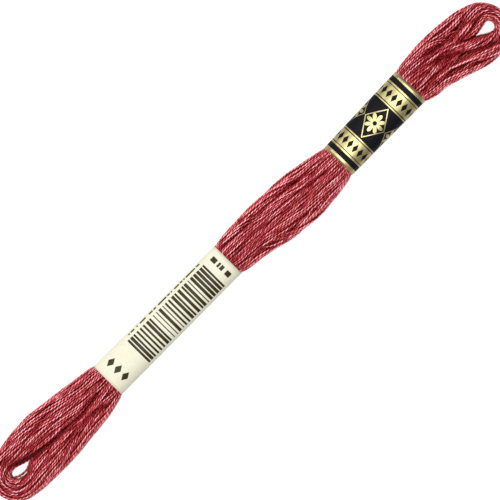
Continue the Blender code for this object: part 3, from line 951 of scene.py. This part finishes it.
def cotton():
    """Mercerised cotton: rose red, each strand a little different, with painted shade between the
    strands and painted highlights on their crests, in patches.
    """
    paint = Paint("rose_cotton")
    place = paint.node("VectorMath", 0, {0: paint.node("TexCoord", "Object", {}), 1: PATCH_STRETCH},
                       operation="MULTIPLY")
    patches = paint.noise(PATCH_SCALE, 2, place).math("MULTIPLY_ADD", PATCH_GAIN, PATCH_BASE)
    fibres = paint.noise(FIBRE_SCALE, 3, paint.point_value("fibre", "Vector"))
    # shade is the painted light of the "crest" attribute in brighter and dimmer patches, plus each
    # strand's tint and fine fibre streaks.
    shade = (paint.point_value("crest") * patches + paint.point_value("tint")
             + fibres.math("MULTIPLY_ADD", FIBRE_GAIN, -FIBRE_GAIN / 2))
    return paint.finished({
        "Base Color": paint.ramp(shade, COTTON_COLOURS), "Roughness": 0.32, "Specular IOR Level": 0.5,
        "Specular Tint": (1, 0.25, 0.28, 1), "Normal": paint.bump(fibres, 0.5, 0.05)})


def cream_paper():
    """Matt cream paper printed in olive black: plain stripes, dashes and lozenges."""
    paint = Paint("printed_cream")
    along, around = paint.print_place()

    def block(marks, value, along_span, around_span, cells):
        return inside(along, *along_span) & inside(around, *around_span) & marks(value, *cells)

    lozenges = lozenge(along - LOZENGES_ALONG, tiled(around, *LOZENGE_PITCH), *LOZENGE_SIZE)
    ink = (block(uneven_bars, along, *STRIPES) | block(scattered, along, *DASH_LINE)
           | block(scattered, around, *DASH_COLUMN) | inside(around, *LOZENGES_AROUND) & lozenges)
    mottle, paper = paint.mottled(2500, 4, (0.64, 0.615, 0.475), (0.69, 0.67, 0.535))
    return paint.finished({
        "Base Color": paint.mixed(ink, paper, (0.025, 0.019, 0.002)), "Roughness": 0.55,
        "Specular IOR Level": 0.2, "Normal": paint.bump(mottle, 0.25, 0.02)})


def gilt_paper():
    """Gilt paper printed in black: stripes at the ends and a lattice of lozenges with rosettes."""
    paint = Paint("printed_gilt")
    along, around = paint.print_place()
    width = BANDS["gilt_band"]["x1"] - BANDS["gilt_band"]["x0"]
    from_edge = along.math("MINIMUM", paint.math("SUBTRACT", width, along))
    ink = lozenge(from_edge - BEADS_ALONG, tiled(around, *BEAD_PITCH), *BEAD_SIZE)
    for span in END_STRIPES:
        ink = ink | inside(from_edge, *span)
    off, aside = along - width / 2, tiled(around, *LATTICE_PITCH)
    outer, inner = (lozenge(off, aside, *size) for size in (LATTICE_OUTER, LATTICE_INNER))
    bare = rosette(off, aside, ROSETTE) | (outer - inner)
    ink = ink | (abs(off) < LATTICE_HALF) & ~bare
    mottle, gilt = paint.mottled(1800, 3, (0.32, 0.28, 0.125), (0.4, 0.35, 0.17))
    return paint.finished({
        "Base Color": paint.mixed(ink, gilt, (0.003, 0.003, 0.005)),
        "Roughness": mottle.math("MULTIPLY_ADD", 0.2, 0.34) + ink * 0.2,
        "Metallic": ink.math("MULTIPLY_ADD", -0.7, 0.7), "Specular IOR Level": 0.12,
        "Normal": paint.bump(mottle, 0.15, 0.02)})


def plain_paper():
    """The inner side of both bands."""
    paint = Paint("paper_back")
    mottle, paper = paint.mottled(2500, 4, (0.72, 0.7, 0.62), (0.78, 0.76, 0.68))
    bump = paint.bump(mottle, 0.25, 0.02)
    return paint.finished({"Base Color": paper, "Roughness": 0.6, "Normal": bump})


# ---- the paper bands as meshes
def oval_point(band, x, angle, inset):
    """A point of a band's outer face, inset below it, at an angle round its section."""
    length = band["x1"] - band["x0"]
    width = band["width0"] + (band["width1"] - band["width0"]) * ((x - band["x0"]) / length)
    power = 2 / BAND_SQUARENESS
    across, rise = (math.copysign(abs(part) ** power, part) * (size / 2 - inset)
                    for part, size in ((math.cos(angle), width), (math.sin(angle), band["height"])))
    slope = (band["y1"] - band["y0"]) / length
    middle = band["y0"] + slope * (x - band["x0"])
    return (x - across * slope, middle + across, BAND_FOOT + band["height"] / 2 + rise)


def section_turns(band):
    """Turns round the band's section from its top, -pi to past pi where its ends overlap, the length
    round it at each, and its girth."""
    middle = (band["x0"] + band["x1"]) / 2
    turns = np.linspace(-math.pi, math.pi, BAND_COLUMNS + 1)

    def lengths(turns):
        return lengths_along([oval_point(band, middle, math.pi / 2 - turn, 0)[1:] for turn in turns])

    girth = lengths(turns)[-1]
    flap = np.arange(1, BAND_COLUMNS) * (turns[1] - turns[0])
    flap = flap[lengths(np.concatenate([[0], flap]) - math.pi)[1:] <= OVERLAP]
    turns = np.concatenate([turns, math.pi + flap])
    return turns, lengths(turns) - girth / 2, girth


def build_band(name, band, outside, back):
    """A paper sleeve, glued underneath with one end over the other, and the sheet's flat size."""
    turns, around, girth = section_turns(band)
    stations = [(band["x1"] - band["x0"]) * row / BAND_ROWS for row in range(BAND_ROWS + 1)]
    vertices, faces = [], []
    for station in stations:
        x = band["x0"] + station
        for turn, length in zip(turns, around):
            raised = FLAP_LIFT * PAPER * min(max((length - girth / 2) / FLAP_RISE + 1, 0), 1)
            spot = Vector((x / PAPER_WAVE_LENGTH, math.cos(turn), 2 * math.sin(turn)))
            inset = PAPER - raised - abs(PAPER_WAVE * noise.noise(spot))
            vertices.append([MM * value for value in oval_point(band, x, math.pi / 2 - turn, inset)])
    across = len(turns)
    for row in range(BAND_ROWS):
        for a in range(row * across, (row + 1) * across - 1):
            faces.append((a, a + across, a + across + 1, a + 1))
    mesh = bpy.data.meshes.new(name + "_paper")
    mesh.from_pydata(vertices, [], faces)
    mesh.shade_smooth()
    layer = mesh.uv_layers.new(name="print")
    for corner in mesh.loops:
        row, column = divmod(corner.vertex_index, across)
        layer.data[corner.index].uv = (stations[row], around[column])
    for material in (outside, back):
        mesh.materials.append(material)
    item = to_scene(name + "_paper", mesh)
    wall = item.modifiers.new("wall", "SOLIDIFY")
    wall.thickness, wall.offset = PAPER * MM, -1
    wall.material_offset, wall.material_offset_rim = 1, 1
    return item, (MM * (band["x1"] - band["x0"]), MM * (around[-1] - around[0]))


# ---- camera, floor and light
def build_camera():
    data = bpy.data.cameras.new("camera")
    data.lens, data.sensor_width = LENS, SENSOR
    data.clip_start, data.clip_end = 0.05, 20
    camera = to_scene("camera", data)
    x, y, z = (v * MM for v in PHOTO_CENTRE)
    camera.location = (x, y, z + PHOTO_WIDTH * MM * LENS / SENSOR)
    camera.rotation_euler = (0, 0, -math.radians(SKEIN_ANGLE))
    bpy.context.scene.camera = camera


def build_floor():
    mesh = bpy.data.meshes.new("floor")
    square = [(FLOOR_HALF * x, FLOOR_HALF * y, 0) for x, y in ((-1, -1), (1, -1), (1, 1), (-1, 1))]
    mesh.from_pydata(square, [], [(0, 1, 2, 3)])
    pale = {"Base Color": (0.97, 0.97, 0.97, 1), "Roughness": 0.9}
    mesh.materials.append(Paint("pale_floor").finished(pale))
    floor = to_scene("floor", mesh)
    floor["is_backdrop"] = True


def build_light():
    for name, place, size, power in LIGHTS:
        data = bpy.data.lights.new(name, "AREA")
        data.shape, data.size, data.energy = "DISK", size, power
        light = to_scene(name, data)
        light.location, light.rotation_mode = place, "QUATERNION"
        light.rotation_quaternion = (-Vector(place)).to_track_quat("-Z", "Y")
    world = bpy.data.worlds.new("studio")
    world.use_nodes = True
    background = world.node_tree.nodes["Background"].inputs
    background["Color"].default_value = (1, 1, 1, 1)
    background["Strength"].default_value = SKY
    bpy.context.scene.world = world
    bpy.context.scene.view_settings.view_transform = "Standard"


# ---- the scene
def corners(box):
    return [list(corner) for corner in box]


def main():
    cad_box = corners(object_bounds())
    build_camera()
    build_floor()
    build_light()
    for piece in build_strands(cotton()):
        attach(piece, "root")
        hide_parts("floss")
    back = plain_paper()
    for name, slot, outside, under in (
            ("cream_band", "cream_paper", cream_paper(), ["left_loop_strands_1", "middle_strands_1"]),
            ("gilt_band", "gilt_paper", gilt_paper(), ["middle_strands_1", "right_loop_strands_1"])):
        piece, flat = build_band(name, BANDS[name], outside, back)
        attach(piece, "root")
        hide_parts(name)
        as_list(under)
    corners(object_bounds())


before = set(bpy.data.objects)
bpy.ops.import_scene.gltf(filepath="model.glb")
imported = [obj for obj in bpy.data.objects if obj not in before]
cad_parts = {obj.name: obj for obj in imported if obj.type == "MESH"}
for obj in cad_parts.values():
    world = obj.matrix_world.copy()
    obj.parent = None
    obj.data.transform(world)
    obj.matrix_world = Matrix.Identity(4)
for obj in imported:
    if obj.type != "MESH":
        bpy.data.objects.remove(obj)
main()
